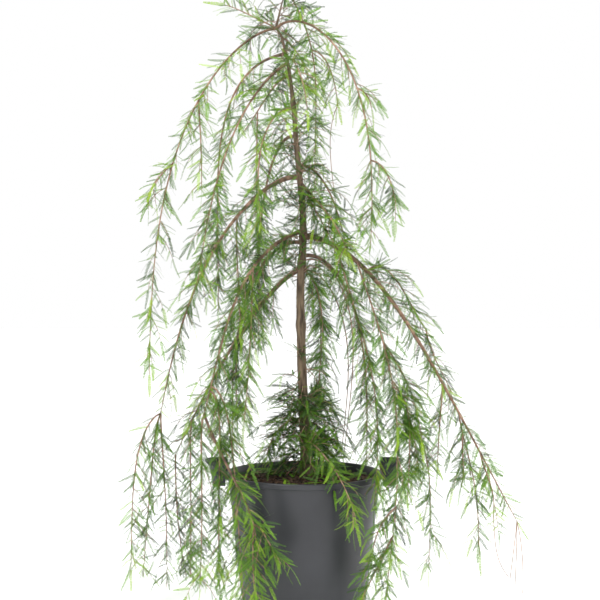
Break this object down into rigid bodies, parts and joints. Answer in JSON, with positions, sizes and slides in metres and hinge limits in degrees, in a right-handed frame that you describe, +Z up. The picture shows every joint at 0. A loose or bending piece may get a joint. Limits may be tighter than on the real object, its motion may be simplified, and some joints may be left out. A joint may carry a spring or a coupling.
{
  "type": "potted weeping bald cypress",
  "caption": "Weeping conifer with a slim leaning trunk, arching boughs and long hanging feathery sprays, in a round dark nursery pot with grip lugs and bark mulch.",
  "frame": {"origin": "centre of the pot's flat underside, on the ground", "axes": "+Z up along the trunk, +X to the right as seen from the front, the front faces -Y"},
  "size_m": [1.1107, 0.6325, 1.702],
  "materials": {
    "pot": "satin charcoal, moulded",
    "lug": "satin charcoal, moulded",
    "mulch": "rough shredded bark mulch",
    "bark": "rough fissured bark",
    "bough": "young bark, matte",
    "needles": "soft matte needles"
  },
  "bodies": {
    "root": {"pot": "pot", "pot_handle_left": "lug", "pot_handle_right": "lug", "soil": "mulch", "trunk": "bark", "bough_back_high": "bough", "bough_back_left": "bough", "bough_back_right": "bough", "bough_far_left": "bough", "bough_great_left": "bough", "bough_great_right": "bough", "bough_inner_left_back": "bough", "bough_inner_left_front": "bough", "bough_low_left": "bough", "bough_middle_left": "bough", "bough_pot_front": "bough", "bough_shoulder_back": "bough", "bough_shoulder_front": "bough", "bough_top_right": "bough", "bough_upper_left_back": "bough", "bough_upper_left_front": "bough", "foliage_back_high": "needles", "foliage_back_left": "needles", "foliage_back_left_tail": "needles", "foliage_back_right": "needles", "foliage_behind_trunk": "needles", "foliage_crown_top_left": "needles", "foliage_curtain_inner": "needles", "foliage_curtain_lower": "needles", "foliage_curtain_middle": "needles", "foliage_curtain_upper": "needles", "foliage_far_left_arch": "needles", "foliage_far_left_hanging": "needles", "foliage_foot_left": "needles", "foliage_foot_right": "needles", "foliage_front_left_tails": "needles", "foliage_great_left_arch": "needles", "foliage_great_left_hanging": "needles", "foliage_great_right_arch": "needles", "foliage_great_right_middle": "needles", "foliage_great_right_tip": "needles", "foliage_inner_left_back": "needles", "foliage_inner_left_front": "needles", "foliage_inner_right_front": "needles", "foliage_leader": "needles", "foliage_left_tails": "needles", "foliage_low_left": "needles", "foliage_middle_left": "needles", "foliage_pot_front": "needles", "foliage_pot_side": "needles", "foliage_right_back_tail": "needles", "foliage_right_shoulder": "needles", "foliage_rim_front": "needles", "foliage_shoulder_back": "needles", "foliage_shoulder_front": "needles", "foliage_top_right_arch": "needles", "foliage_top_right_hanging": "needles", "foliage_upper_left_arch": "needles", "foliage_upper_left_front": "needles", "foliage_upper_left_hanging": "needles"}
  },
  "joints": []
}
